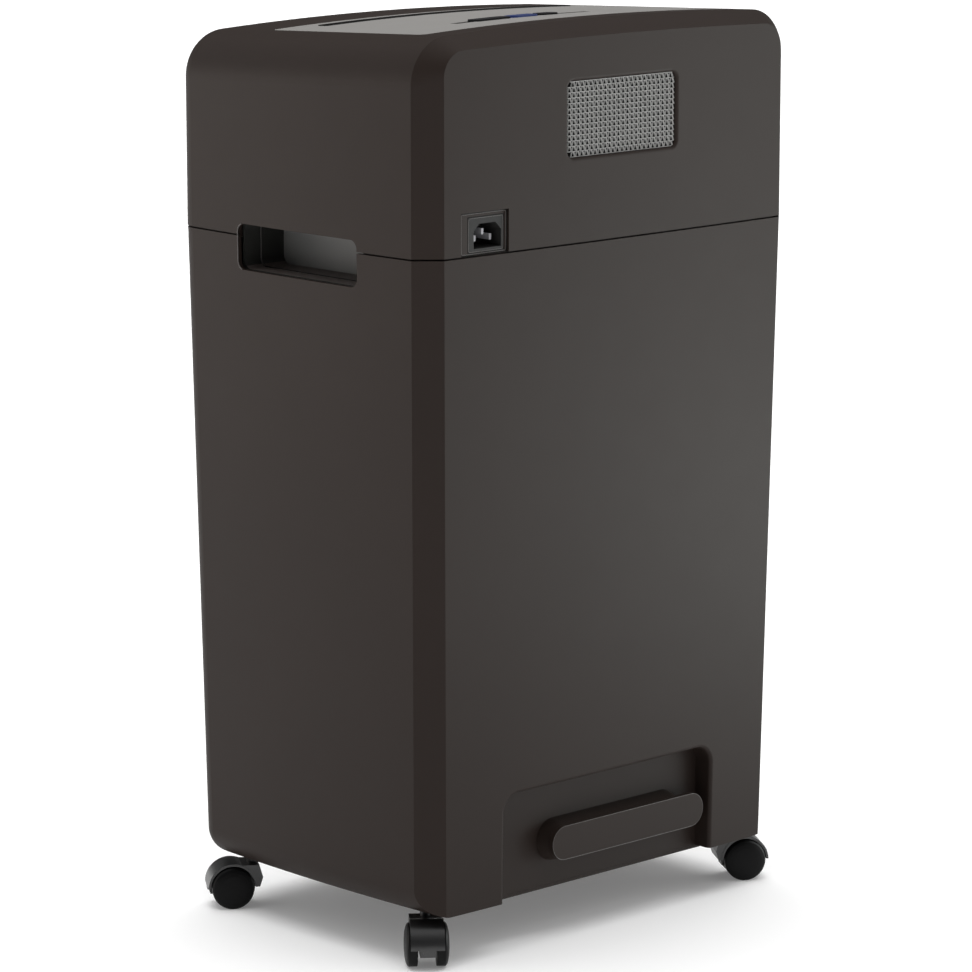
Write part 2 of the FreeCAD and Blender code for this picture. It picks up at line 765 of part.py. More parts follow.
def make_vent():
    """Perforated sheet set back in the vent opening."""
    columns = int(size("vent_width") // size("mesh_pitch")) - 1
    rows = int(size("vent_height") // size("mesh_pitch")) - 1
    body = new_body("vent_mesh")
    outline = new_sketch(body, "mesh_outline")
    sketch_rectangle(outline, "vent_width - 1", "vent_height - 1")
    sheet = pad(body, "mesh_sheet", outline, "mesh_thick")
    round_edges(body, "mesh_corners", sheet, Vector(0, 0, 1), "vent_round")
    hole = new_sketch(body, "mesh_hole_outline")
    pitch = size("mesh_pitch")
    half = size("mesh_hole") / 2
    left = -(columns - 1) / 2 * pitch
    low = -(rows - 1) / 2 * pitch
    sketch_polygon(hole, [(left - half, low - half), (left + half, low - half),
                          (left + half, low + half), (left - half, low + half)])
    first = pocket_through(body, "mesh_hole_cut", hole)
    transform = body.newObject("PartDesign::MultiTransform", "mesh_holes")
    transform.Originals = [first]
    across = body.newObject("PartDesign::LinearPattern", "mesh_columns")
    across.Direction = (hole, ["H_Axis"])
    across.Length = pitch * (columns - 1)
    across.Occurrences = columns
    upward = body.newObject("PartDesign::LinearPattern", "mesh_rows")
    upward.Direction = (hole, ["V_Axis"])
    upward.Length = pitch * (rows - 1)
    upward.Occurrences = rows
    transform.Transformations = [across, upward]
    body.Tip = transform
    DOC.recompute()
    move(body, ("vent_x", "half_depth + end_crown - vent_depth", "vent_z"), Rotation(Vector(1, 0, 0), 90))
    node(body, "vent_mesh")


def make_fan():
    """Axial fan behind the vent: a square frame with a motor hub, and a bladed rotor."""
    centre = ("vent_x", "fan_front_y", "vent_z")
    frame = rounded_block("fan_block", "fan_size", "fan_size", "fan_depth", "4", centre, ALONG_Y)
    bore = cylinder("fan_bore", "fan_size / 2 - 1.5", "fan_depth + 2",
                    ("vent_x", "fan_front_y - 1", "vent_z"), ALONG_Y)
    hub = cylinder("fan_hub_seat", "9", "2", centre, ALONG_Y)
    pin = cylinder("fan_pin", "1.5", "10", centre, ALONG_Y)
    spokes = [box("fan_spoke_across", ("fan_size - 1", "2", "3"),
                  ("vent_x - fan_size / 2 + 0.5", "fan_front_y", "vent_z - 1.5")),
              box("fan_spoke_up", ("3", "2", "fan_size - 1"),
                  ("vent_x - 1.5", "fan_front_y", "vent_z - fan_size / 2 + 0.5"))]
    node(fuse("fan_frame", cut("fan_ring", frame, bore), hub, pin, *spokes), "fan_frame")

    cup = cylinder("rotor_cup", "11", "9", ("vent_x", "fan_front_y + 2.6", "vent_z"), ALONG_Y)
    seat = cylinder("rotor_bore", "1.55", "20", ("vent_x", "fan_front_y", "vent_z"), ALONG_Y)
    blades = []
    count = 7
    pitch = 38.0
    for number in range(count):
        blade = DOC.addObject("Part::Box", "rotor_blade_%d" % number)
        bind(blade, Length="fan_size / 2 - 13.5", Width="9.5", Height="1.2")
        turn = Rotation(Vector(0, 1, 0), 360.0 * number / count)
        tilt = Rotation(Vector(1, 0, 0), pitch)
        seat_point = turn.multVec(Vector(10.5, 0, 0)) + turn.multVec(tilt.multVec(Vector(0, -4.75, -0.6)))
        centre_y = size("fan_front_y") + 7.1
        blade.Placement = Placement(
            Vector(size("vent_x"), centre_y, size("vent_z")) + seat_point, turn.multiply(tilt))
        blades.append(blade)
    node(cut("fan_rotor", fuse("rotor_whole", cup, *blades), seat), "fan_rotor")


def make_inlet():
    """Mains inlet: a bezel in the casing, the socket moulding and its three pins."""
    face_y = "half_depth - inlet_recess"
    plate = box("bezel_plate", ("inlet_width - 0.4", "3", "inlet_height - 0.4"),
                ("inlet_x - inlet_width / 2 + 0.2", face_y + " - 3",
                 "inlet_z - inlet_height / 2 + 0.2"))
    window = box("bezel_window", ("flange_width + 0.4", "10", "flange_height + 0.4"),
                 ("flange_x - flange_width / 2 - 0.2", face_y + " - 6",
                  "flange_z - flange_height / 2 - 0.2"))
    node(cut("inlet_bezel", plate, window), "inlet_bezel")

    flange = box("socket_flange", ("flange_width", "2.4", "flange_height"),
                 ("flange_x - flange_width / 2", face_y + " - 2.6", "flange_z - flange_height / 2"))
    shell = box("socket_shell", ("socket_width + 4", "socket_depth + 3", "socket_height + 4"),
                ("socket_x - socket_width / 2 - 2", face_y + " - 2.6 - socket_depth - 3 + 0.2",
                 "socket_z - socket_height / 2 - 2"))
    body = new_body("socket_cavity")
    sketch = new_sketch(body, "cavity_outline")
    half_x = size("socket_width") / 2
    half_z = size("socket_height") / 2
    clip = 5.0
    sketch_polygon(sketch, [(-half_x, -half_z), (half_x, -half_z), (half_x, half_z - clip),
                            (half_x - clip, half_z), (clip - half_x, half_z), (-half_x, half_z - clip)])
    pad(body, "cavity_pad", sketch, "socket_depth + 20")
    move(body, ("socket_x", face_y + " - 2.6 + 20", "socket_z"),
         Rotation(Vector(1, 0, 0), 90))
    holes = []
    pins = []
    for number, (across, up) in enumerate(((-1, -1), (0, 1), (1, -1))):
        low = ("socket_x + %d * pin_spacing - pin_width / 2" % across,
               face_y + " - 2.6 - socket_depth - 2.5",
               "socket_z + %d * 2 - pin_height / 2" % up)
        lengths = ("pin_width", "pin_length + 2.5", "pin_height")
        holes.append(box("pin_hole_%d" % number, lengths, low))
        pins.append(box("pin_%d" % number, lengths, low))
    moulding = cut("socket_open", fuse("socket_block", flange, shell), body)
    node(cut("inlet_socket", moulding, *holes), "inlet_socket")
    node(group("inlet_pins", *pins), "inlet_pins")


# ---------------------------------------------------------------- cutting block

def roll_y(side):
    """Y of a roll's axis: side -1 for the front roll, +1 for the rear one."""
    return size("slot_y") + side * size("roll_spacing") / 2


def make_roll(name, side, left_end):
    """Cutting roll turned from one bar: journals, core and discs, with lengthwise flutes."""
    pitch = size("disc_pitch")
    thick = size("disc_thick")
    count = int(size("disc_count"))
    core = size("core_radius")
    radius = size("disc_radius")
    journal = size("journal_radius")
    half = size("roll_half_length")
    start = -(count - 1) / 2 * pitch + side * pitch / 4
    outline = [(left_end, 0.0), (left_end, journal), (-half, journal), (-half, core)]
    for number in range(count):
        middle = start + number * pitch
        outline += [(middle - thick / 2, core), (middle - thick / 2, radius),
                    (middle + thick / 2, radius), (middle + thick / 2, core)]
    right_end = size("plate_inner_x") + size("plate_thick") + 2
    outline += [(half, core), (half, journal), (right_end, journal), (right_end, 0.0)]
    body = new_body(name + "_blank")
    sketch = new_sketch(body, name + "_profile")
    sketch_polygon(sketch, outline)
    revolve(body, name + "_turned", sketch)
    move(body, ("0", "slot_y + %d * roll_spacing / 2" % side, "axis_z"))
    flutes = []
    flute_count = 5
    for number in range(flute_count):
        flute = DOC.addObject("Part::Box", "%s_flute_%d" % (name, number))
        bind(flute, Length="2 * roll_half_length + 2", Width="3", Height="6")
        turn = Rotation(Vector(1, 0, 0), 360.0 * number / flute_count + 20)
        corner = turn.multVec(Vector(-half - 1, -1.5, radius - 2.5))
        flute.Placement = Placement(corner + Vector(0, roll_y(side), size("axis_z")), turn)
        flutes.append(flute)
    node(cut(name, body, *flutes), name)


def make_combs():
    """Stripper combs whose fingers reach between the discs on the outer side of each roll."""
    pitch = size("disc_pitch")
    combs = []
    for side, name in ((-1, "front"), (1, "rear")):
        count = int(size("disc_count")) - 1
        start = -(count - 1) / 2 * pitch + side * pitch / 4
        body = new_body("comb_" + name)
        bar = new_sketch(body, "comb_bar_" + name)
        sketch_rectangle(bar, "2 * plate_inner_x - 0.6", "comb_bar_depth")
        pad(body, "comb_bar_pad_" + name, bar, "comb_bar_height")
        finger = new_sketch(body, "finger_" + name, 10.0)
        reach = size("comb_offset") - size("core_radius") - 0.8 + size("comb_bar_depth") / 2
        inner = -side * reach
        half = size("finger_thick") / 2
        low, high = sorted((0.0, inner))
        sketch_polygon(finger, [(start - half, low), (start + half, low),
                                (start + half, high), (start - half, high)])
        first = pad(body, "finger_pad_" + name, finger, "comb_bar_height / 3")
        row = body.newObject("PartDesign::LinearPattern", "finger_row_" + name)
        row.Originals = [first]
        row.Direction = (finger, ["H_Axis"])
        row.Length = pitch * (count - 1)
        row.Occurrences = count
        body.Tip = row
        DOC.recompute()
        offset = "slot_y + %d * (roll_spacing / 2 + comb_offset + comb_bar_depth / 2)" % side
        move(body, ("0", offset, "axis_z - comb_bar_height / 2"))
        combs.append(body)
    node(group("cutter_combs", *combs), "cutter_combs")


def gear_outline(teeth, module, phase):
    """Tooth outline: straight-flanked teeth, short and slim enough to run freely."""
    pitch_radius = teeth * module / 2
    tip = pitch_radius + 0.8 * module
    root = pitch_radius - 1.15 * module
    step = 2 * math.pi / teeth
    points = []
    for number in range(teeth):
        middle = phase + number * step
        for share, radius in ((-0.27, root), (-0.10, tip), (0.10, tip), (0.27, root)):
            angle = middle + share * step
            points.append((radius * math.cos(angle), radius * math.sin(angle)))
    return points


def make_gear(name, teeth, module, phase, bore, width, at):
    """Body: one spur gear about the X axis of the block."""
    body = new_body(name)
    sketch = new_sketch(body, name + "_teeth")
    sketch_polygon(sketch, gear_outline(int(size(teeth)), size(module), phase))
    pad(body, name + "_pad", sketch, width)
    if bore is not None:
        hole = new_sketch(body, name + "_bore")
        sketch_circle(hole, bore)
        pocket_through(body, name + "_bore_cut", hole)
    return move(body, at, Rotation(Vector(1, 1, 1), 120))


def make_gears():
    """Motor pinion, double idler, driven gear and the pair that couples the rolls."""
    roll_step = math.pi / size("roll_teeth")
    front_y = "slot_y - roll_spacing / 2"
    rear_y = "slot_y + roll_spacing / 2"
    idler_y = rear_y + " + second_module * (driven_teeth + idler_small_teeth) / 2"
    motor_y = idler_y + " + first_module * (idler_large_teeth + pinion_teeth) / 2"
    node(make_gear("front_roll_gear", "roll_teeth", "roll_module", 0.0,
                   "journal_radius + running_gap / 5", "7", ("-134", front_y, "axis_z")),
         "front_roll_gear")
    node(make_gear("rear_roll_gear", "roll_teeth", "roll_module", math.pi + roll_step,
                   "journal_radius + running_gap / 5", "7", ("-134", rear_y, "axis_z")),
         "rear_roll_gear")
    node(make_gear("driven_gear", "driven_teeth", "second_module", 0.0,
                   "journal_radius + running_gap / 5", "7", ("-143", rear_y, "axis_z")),
         "driven_gear")
    small_step = math.pi / size("idler_small_teeth")
    small = make_gear("idler_small", "idler_small_teeth", "second_module", math.pi + small_step,
                      None, "9.5", ("-145.5", idler_y, "axis_z"))
    large = make_gear("idler_large", "idler_large_teeth", "first_module", 0.0,
                      None, "6", ("-151", idler_y, "axis_z"))
    bore = cylinder("idler_bore", "idler_pin_radius + running_gap", "40",
                    ("-170", idler_y, "axis_z"), ALONG_X)
    node(cut("idler_gear", fuse("idler_whole", small, large), bore), "idler_gear")
    pinion_step = math.pi / size("pinion_teeth")
    node(make_gear("motor_pinion", "pinion_teeth", "first_module", math.pi + pinion_step,
                   "motor_shaft_radius + running_gap / 5", "8", ("-152", motor_y, "axis_z")),
         "motor_pinion")
    pin = cylinder("idler_pin_rod", "idler_pin_radius", "152.5 - plate_inner_x - plate_thick",
                   ("-152.5", idler_y, "axis_z"), ALONG_X)
    collar = cylinder("idler_pin_collar", "idler_pin_radius + 3", "11",
                      ("-plate_inner_x - plate_thick - 11", idler_y, "axis_z"), ALONG_X)
    node(fuse("idler_pin", pin, collar), "idler_pin")
    return motor_y


def make_motor(motor_y):
    """Motor can with its end boss, and the shaft that carries the pinion."""
    front_x = "-plate_inner_x + 0.3"
    can = cylinder("motor_can", "motor_radius", "motor_length", (front_x, motor_y, "axis_z"), ALONG_X)
    cap = cylinder("motor_cap", "motor_radius - 8", "7",
                   (front_x + " + motor_length", motor_y, "axis_z"), ALONG_X)
    bore = cylinder("motor_bore", "motor_shaft_radius + running_gap", "motor_length",
                    (front_x + " - 1", motor_y, "axis_z"), ALONG_X)
    node(cut("motor", fuse("motor_whole", can, cap), bore), "motor")
    node(cylinder("motor_shaft", "motor_shaft_radius", "motor_length - 10 + 33",
                  ("-153", motor_y, "axis_z"), ALONG_X), "motor_shaft")


def make_cutter_frame(motor_y):
    """Two side plates with their bushes, and the rods that tie them together."""
    front_y = "slot_y - roll_spacing / 2"
    rear_y = "slot_y + roll_spacing / 2"
    plates = []
    for side, name in ((-1, "left"), (1, "right")):
        low_x = "%d * (plate_inner_x + plate_thick / 2) - plate_thick / 2" % side
        blank = box("plate_" + name, ("plate_thick", "plate_rear_y - plate_front_y",
                                      "plate_top_z - chassis_z - chassis_thick"),
                    (low_x, "plate_front_y", "chassis_z + chassis_thick"))
        bores = [cylinder("plate_bore_%s_%d" % (name, number), "bush_radius + 0.02", "20",
                          (low_x + " - 5", y, "axis_z"), ALONG_X)
                 for number, y in enumerate((front_y, rear_y))]
        if side < 0:
            bores.append(cylinder("plate_motor_hole", "8", "20", (low_x + " - 5", motor_y, "axis_z"),
                                  ALONG_X))
        plates.append(cut("side_plate_" + name, blank, *bores))
    node(group("cutter_frames", *plates), "cutter_frames")
    bushes = []
    for side in (-1, 1):
        for number, y in enumerate((front_y, rear_y)):
            tag = "%d_%d" % (side + 1, number)
            low_x = "%d * (plate_inner_x + plate_thick / 2) - 2.4" % side
            ring = cylinder("bush_ring_" + tag, "bush_radius", "4.8", (low_x, y, "axis_z"), ALONG_X)
            hole = cylinder("bush_hole_" + tag, "bush_bore", "10", (low_x + " - 2", y, "axis_z"), ALONG_X)
            bushes.append(cut("bush_" + tag, ring, hole))
    node(group("cutter_bushes", *bushes), "cutter_bushes")
    rods = []
    places = (("plate_front_y + 6", "chassis_z + 14"), ("plate_front_y + 6", "plate_top_z - 8"),
              ("4", "chassis_z + 14"), ("plate_rear_y - 6", "chassis_z + 14"))
    for number, (y, z) in enumerate(places):
        rods.append(cylinder("rod_%d" % number, "rod_radius", "2 * plate_inner_x", ("-plate_inner_x", y, z),
                             ALONG_X))
    node(group("tie_rods", *rods), "tie_rods")


def make_frame_screws():
    """Cap screws through the outside of the side plates into the ends of the tie rods."""
    screws = []
    places = (("plate_front_y + 6", "chassis_z + 14"), ("plate_front_y + 6", "plate_top_z - 8"),
              ("4", "chassis_z + 14"), ("plate_rear_y - 6", "chassis_z + 14"))
    for side in (-1, 1):
        for number, (y, z) in enumerate(places):
            low_x = "%d * (plate_inner_x + plate_thick + 1.5) - 1.5" % side
            screws.append(cylinder("screw_%d_%d" % (side + 1, number), "4.5", "3", (low_x, y, z), ALONG_X))
    node(group("frame_screws", *screws), "frame_screws")


def make_chassis():
    """Floor of the head and the steel plate that carries the cutting block."""
    inset = size("wall") + 0.3
    low = size("split_z") - 2.2
    plate = Part.makeLoft([plan_outline(low, inset), plan_outline(size("chassis_z") - 0.2, inset)],
                          True, True)
    blank = feature("lower_casing_blank", plate)
    drop = box("lower_casing_drop", ("2 * plate_inner_x - 6", "70", "20"),
               ("3 - plate_inner_x", "slot_y - 35", "split_z - 10"))
    pockets = [box("lower_casing_grip_%d" % (side + 1), ("60", "2 * grip_half_y + 6", "20"),
                   ("%d * (grip_floor_x - 3 + 30) - 30" % side, "-grip_half_y - 3", "split_z - 10"))
               for side in (-1, 1)]
    notch = box("lower_casing_notch", ("inlet_width + 2", "60", "20"),
                ("inlet_x - inlet_width / 2 - 1", "97", "inlet_z - inlet_height / 2 - 0.2"))
    node(cut("lower_casing", blank, drop, notch, *pockets), "lower_casing")
    sheet = box("chassis_blank", ("260", "190", "chassis_thick"), ("-130", "-97", "chassis_z"))
    hole = box("chassis_drop", ("2 * plate_inner_x - 6", "70", "20"),
               ("3 - plate_inner_x", "slot_y - 35", "chassis_z - 10"))
    node(cut("chassis_plate", sheet, hole), "chassis_plate")


def make_electrics():
    """Boards, transformer and sensors as plain closed pieces."""
    node(box("power_board", ("90", "50", "1.6"), ("22", "11", "chassis_z + 20")), "power_board")
    node(box("transformer", ("34", "30", "28"), ("30", "20", "chassis_z + 21.6")), "transformer")
    board = box("control_sheet", ("strip_length + 6", "24", "1.6"),
                ("strip_left_x - 3", "strip_y - 12", "top_mid_z - 12"))
    switches = [box("switch_" + key, ("6", "6", "2.2"), (key + "_x - 3", "strip_y - 3", "top_mid_z - 10.6"))
                for key in ("reverse", "power", "forward")]
    node(fuse("control_board", board, *switches), "control_board")
    node(box("paper_sensor", ("22", "8", "12"),
             ("-11", "slot_y + slot_width / 2 + throat_wall", "throat_bottom_z + 20")), "paper_sensor")
    node(box("bin_sensor", ("24", "7", "12"), ("60", "105", "bin_top_z - 20")), "bin_sensor")


# ---------------------------------------------------------------- cabinet

def make_grip_cups():
    """Hand pockets across the joint, one in each side."""
    for side, name in ((1, "right"), (-1, "left")):
        outer_x = size("half_width") - size("wall") - 1.2
        length = outer_x - size("grip_floor_x")
        outer = box("cup_outer_" + name, (str(length + size("grip_wall")),
                                          "2 * (grip_half_y + grip_wall)",
                                          "grip_top_z - grip_bottom_z + 2 * grip_wall"),
                    ("grip_floor_x - grip_wall" if side > 0 else str(-outer_x),
                     "-grip_half_y - grip_wall", "grip_bottom_z - grip_wall"))
        inner = rounded_block(
            "cup_inner_" + name, "2 * grip_half_y", "grip_top_z - grip_bottom_z", "60", "grip_round",
            ("%d * grip_floor_x" % side, "0", "(grip_top_z + grip_bottom_z) / 2"),
            Rotation(Vector(0, 0, 1), Vector(side, 0, 0)).multiply(Rotation(Vector(0, 0, 1), 90)))
        groove = box("cup_groove_" + name,
                     ("1.4", "2 * grip_half_y + 2.4", "grip_top_z - grip_bottom_z + 2.4"),
                     ("%d * grip_groove_x - 0.7" % side, "-grip_half_y - 1.2", "grip_bottom_z - 1.2"))
        node(cut("grip_cup_" + name, outer, inner, groove), "grip_cup_" + name)


def stadium(name, left, right, height, thick, y, z):
    """Body: a bar with fully round ends, standing on edge and facing the rear."""
    body = new_body(name)
    sketch = new_sketch(body, name + "_outline")
    sketch_rectangle(sketch, "%s - %s" % (right, left), height)
    solid = pad(body, name + "_pad", sketch, thick)
    round_edges(body, name + "_ends", solid, Vector(0, 0, 1), "(%s) / 2 - 0.05" % height)
    return move(body, ("(%s + %s) / 2" % (left, right), y, z), ALONG_Y)


def stadium_wire(y, grow):
    """Outline of the bar's stem at one depth, taller by a draft at each edge."""
    radius = size("bar_height") / 2 + grow
    left = size("stem_left_x") + radius - grow
    right = size("stem_right_x") - radius + grow
    low = size("bar_z") - radius
    high = size("bar_z") + radius
    middle = size("bar_z")
    return Part.Wire([
        Part.LineSegment(Vector(left, y, low), Vector(right, y, low)).toShape(),
        Part.Arc(Vector(right, y, low), Vector(right + radius, y, middle), Vector(right, y, high)).toShape(),
        Part.LineSegment(Vector(right, y, high), Vector(left, y, high)).toShape(),
        Part.Arc(Vector(left, y, high), Vector(left - radius, y, middle), Vector(left, y, low)).toShape(),
    ])


def make_cabinet():
    """Cabinet shell, open at the top and front, and the tub for the cord bar low in its rear."""
    top = size("split_z") - size("split_gap") / 2
    bottom = size("cabinet_bottom_z")
    wall = size("wall")
    outer = feature("cabinet_outer", cabinet_solid(0, bottom, top))
    inner = feature("cabinet_inner", cabinet_solid(wall, bottom + wall, top + 1))
    reach = "(recess_half_x + recess_edge_round + wall)"
    block = box("recess_block", ("2 * " + reach, "60", "recess_top_z + recess_edge_round + wall"),
                ("-" + reach, "recess_wall_y - wall", "0"))
    recess = rounded_block("recess_cut", "2 * recess_half_x", "2 * recess_top_z", "60", "recess_round",
                           ("0", "recess_wall_y", "0"), ALONG_Y)
    tub = cut("recess_tub", common("recess_mass", outer, block), recess)
    DOC.recompute()
    area = (0.0, size("recess_half_x"), bottom, size("recess_top_z"))
    soft = round_rear_opening(tub.Shape, area, size("recess_wall_y") + 5, size("recess_edge_round"))
    node(feature("cord_recess", soft), "cord_recess")
    window = box("recess_window", ("2 * " + reach, "60", "recess_top_z + recess_edge_round + wall"),
                 ("-" + reach, "recess_wall_y - wall", "0"))
    opening = box("front_opening", ("2 * opening_half_x", "60", "opening_top_z - opening_bottom_z"),
                  ("-opening_half_x", "-half_depth - 40", "opening_bottom_z"))
    grips = grip_opening("cabinet_grip_cut")
    sockets = [cylinder("socket_hole_%d_%d" % (x + 1, y + 1), "socket_radius + 0.02", "40",
                        ("%d * caster_x" % x, "%d * caster_y" % y, "20"))
               for x in (-1, 1) for y in (-1, 1)]
    shell = cut("cabinet_hollow", outer, inner)
    node(cut("cabinet_shell", shell, window, opening, grips, *sockets), "cabinet_shell")
    node(box("base_plate", ("2 * base_half_x", "recess_wall_y + base_front",
                            "cabinet_bottom_z - base_bottom_z - 0.1"),
             ("-base_half_x", "-base_front", "base_bottom_z")), "base_plate")
    rails = [box("rail_%d" % (side + 1), ("rail_width", "180", "rail_top_z - cabinet_bottom_z - wall"),
                 ("%d * rail_half_x - rail_width / 2" % side, "-85", "cabinet_bottom_z + wall"))
             for side in (-1, 1)]
    node(group("bin_rails", *rails), "bin_rails")
    face = stadium("bar_face", "bar_left_x", "bar_right_x", "bar_height", "bar_plate",
                   "bar_face_y - bar_plate", "bar_z")
    plate_back = size("bar_face_y") - size("bar_plate") + 0.5
    stem = feature("bar_stem", Part.makeLoft(
        [stadium_wire(size("recess_wall_y"), 3.0), stadium_wire(plate_back, 0.0)], True, True))
    node(fuse("cord_bar", face, stem), "cord_bar")


def make_bin():
    """Waste bin with its front panel, window, hand pocket and magnet."""
    outer = box("bin_outer", ("2 * bin_half_x", "bin_rear_y - bin_front_y", "bin_top_z - bin_bottom_z"),
                ("-bin_half_x", "bin_front_y", "bin_bottom_z"))
    inner = rounded_block("bin_inner", "2 * (bin_half_x - bin_wall)",
                          "bin_rear_y - bin_front_y - 2 * bin_wall", "bin_top_z", "8",
                          ("0", "(bin_front_y + bin_rear_y) / 2", "bin_bottom_z + bin_wall"))
    node(cut("bin", outer, inner), "bin")

    bottom = size("cabinet_bottom_z")
    top = size("split_z")
    skin = feature("front_skin", cabinet_solid(0, bottom, top))
    back = feature("front_back", cabinet_solid(0, bottom, top),
                   Placement(Vector(0, size("front_thick"), 0), Rotation()))
    area = box("front_area", ("2 * (opening_half_x - front_gap)", "50",
                              "opening_top_z - opening_bottom_z - 2 * front_gap"),
               ("front_gap - opening_half_x", "-half_depth - 30", "opening_bottom_z + front_gap"))
    sheet = cut("front_sheet", common("front_face", skin, area), back)
    ribs = [common("front_rib_%d" % (side + 1),
                   feature("rib_skin_%d" % (side + 1), cabinet_solid(1, bottom, top)),
                   box("rib_area_%d" % (side + 1), ("4", "60", "330"),
                       ("%d * 110 - 2" % side, "bin_front_y - 60", "80")))
            for side in (-1, 1)]
    window = rounded_block("window_cut", "2 * window_half_x", "window_top_z - window_bottom_z", "40", "8",
                           ("0", "-half_depth - 10", "(window_top_z + window_bottom_z) / 2"), ALONG_Y)
    hand = rounded_block("handle_cut", "2 * handle_half_x", "handle_top_z - handle_bottom_z", "60", "10",
                         ("0", "-half_depth - 20", "(handle_top_z + handle_bottom_z) / 2"), ALONG_Y)
    node(cut("bin_front", fuse("front_ribbed", sheet, *ribs), window, hand), "bin_front")

    glass = rounded_block("window_blank", "2 * window_half_x - 0.6",
                          "window_top_z - window_bottom_z - 0.6", "40", "7.7",
                          ("0", "-half_depth - 10", "(window_top_z + window_bottom_z) / 2"), ALONG_Y)
    pane_skin = feature("pane_skin", cabinet_solid(0.6, bottom, top))
    pane_back = feature("pane_back", cabinet_solid(0, bottom, top),
                        Placement(Vector(0, 3.2, 0), Rotation()))
    node(cut("bin_window", common("window_face", glass, pane_skin), pane_back), "bin_window")

    cup = box("handle_outer", ("2 * handle_half_x + 5", "handle_depth + 2",
                               "handle_top_z - handle_bottom_z + 5"),
              ("-handle_half_x - 2.5", "-half_depth + 2.9", "handle_bottom_z - 2.5"))
    hollow = rounded_block("handle_hollow", "2 * handle_half_x", "handle_top_z - handle_bottom_z",
                           "handle_depth + 10", "10",
                           ("0", "-half_depth - 10", "(handle_top_z + handle_bottom_z) / 2"), ALONG_Y)
    node(cut("bin_handle", cup, hollow), "bin_handle")
    node(box("bin_magnet", ("16", "4", "8"), ("64", "bin_rear_y", "bin_top_z - 18")), "bin_magnet")


# ---------------------------------------------------------------- casters

def make_caster(name, side_x_sign, side_y_sign, angle):
    """Twin-wheel caster: swivelling hood with its stem, an axle and two wheels."""
    foot = Vector(side_x_sign * size("caster_x"), side_y_sign * size("caster_y"), 0)
    turn = Placement(foot, Rotation(Vector(0, 0, 1), angle))
    trail = size("caster_trail")
    radius = size("wheel_radius")
    half = size("hood_half_width")
    low = size("hood_low_z")
    axle_line = Placement(Vector(trail, 0, radius), Rotation(Vector(1, 0, 0), 90))

    top = size("hood_top_z")
    wide = size("block_half_width")
    between = size("web_half_width")

    def across(reach, width):
        """Cylinder about the axle."""
        return Part.makeCylinder(reach, 2 * width, Vector(trail, width, radius), Vector(0, -1, 0))

    arch = across(size("hood_outer"), half).cut(Part.makeBox(80, 60, low + 20, Vector(-30, -30, -20)))
    shoulder = top - size("block_drop")
    side_view = Part.makePolygon([Vector(x, wide, z) for x, z in (
        (-4.2, shoulder), (-6.8, 22.0), (-4.6, low), (trail, low), (trail, shoulder), (-4.2, shoulder))])
    block = Part.Face(side_view).extrude(Vector(0, -2 * wide, 0))
    over = Part.makeBox(80, 60, 20, Vector(-30, -30, top))
    hood = arch.fuse(block).cut(across(size("hood_inner"), half + 1)).cut(over)
    web = across(size("hood_inner") + 0.5, between)
    web = web.cut(Part.makeBox(80, 60, 30, Vector(-30, -30, radius - 35)))
    skirt = across(size("hood_outer"), between).cut(across(size("hood_inner"), between + 1))
    skirt = skirt.common(Part.makeBox(30, 60, 12, Vector(trail, -30, size("skirt_low_z"))))
    tab = across(size("hood_outer"), 3.2).cut(across(size("hood_inner") + 0.6, between + 1))
    tab = tab.common(Part.makeBox(30, 60, 12, Vector(trail, -30, size("skirt_low_z") - 1.6)))
    stem = Part.makeCylinder(size("stem_radius"), size("stem_top_z") - top + 4, Vector(0, 0, top - 4))
    bore = across(size("axle_radius") + size("running_gap"), 30)
    fork = hood.fuse([web, skirt, tab, stem]).cut(bore).removeSplitter()
    node(feature(name + "_fork", fork, turn), name + "_fork")

    wheels = []
    for face in (-1, 1):
        profile = new_body("%s_wheel_%d" % (name, face + 1))
        sketch = new_sketch(profile, "%s_wheel_profile_%d" % (name, face + 1))
        inner = size("tread_inner")
        outer = size("tread_outer")
        dome = outer + size("wheel_dome")
        bore_radius = size("axle_radius")
        sketch_polygon(sketch, [
            (inner, bore_radius), (inner, radius - 0.3), (inner + 0.3, radius), (outer - 0.3, radius),
            (outer, radius - 0.3), (outer + 0.3 * size("wheel_dome"), radius * 0.93),
            (outer + 0.58 * size("wheel_dome"), radius * 0.8),
            (outer + 0.8 * size("wheel_dome"), radius * 0.62),
            (dome - 0.2, radius * 0.4), (dome, radius * 0.15), (dome, 0.0), (outer - 1.0, 0.0),
            (outer - 1.0, bore_radius)])
        revolve(profile, "%s_wheel_turned_%d" % (name, face + 1), sketch)
        axis = Rotation(Vector(0, 0, 1), 90 * face)
        profile.Placement = turn.multiply(Placement(Vector(trail, 0, radius), axis))
        wheels.append(profile)
    node(group(name + "_wheels", *wheels), name + "_wheels")
    axle = DOC.addObject("Part::Cylinder", name + "_axle")
    bind(axle, Radius="axle_radius", Height="2 * (tread_outer - 1)")
    length = 2 * (size("tread_outer") - 1)
    axle.Placement = turn.multiply(axle_line).multiply(Placement(Vector(0, 0, -length / 2), Rotation()))
    node(axle, name + "_axle")


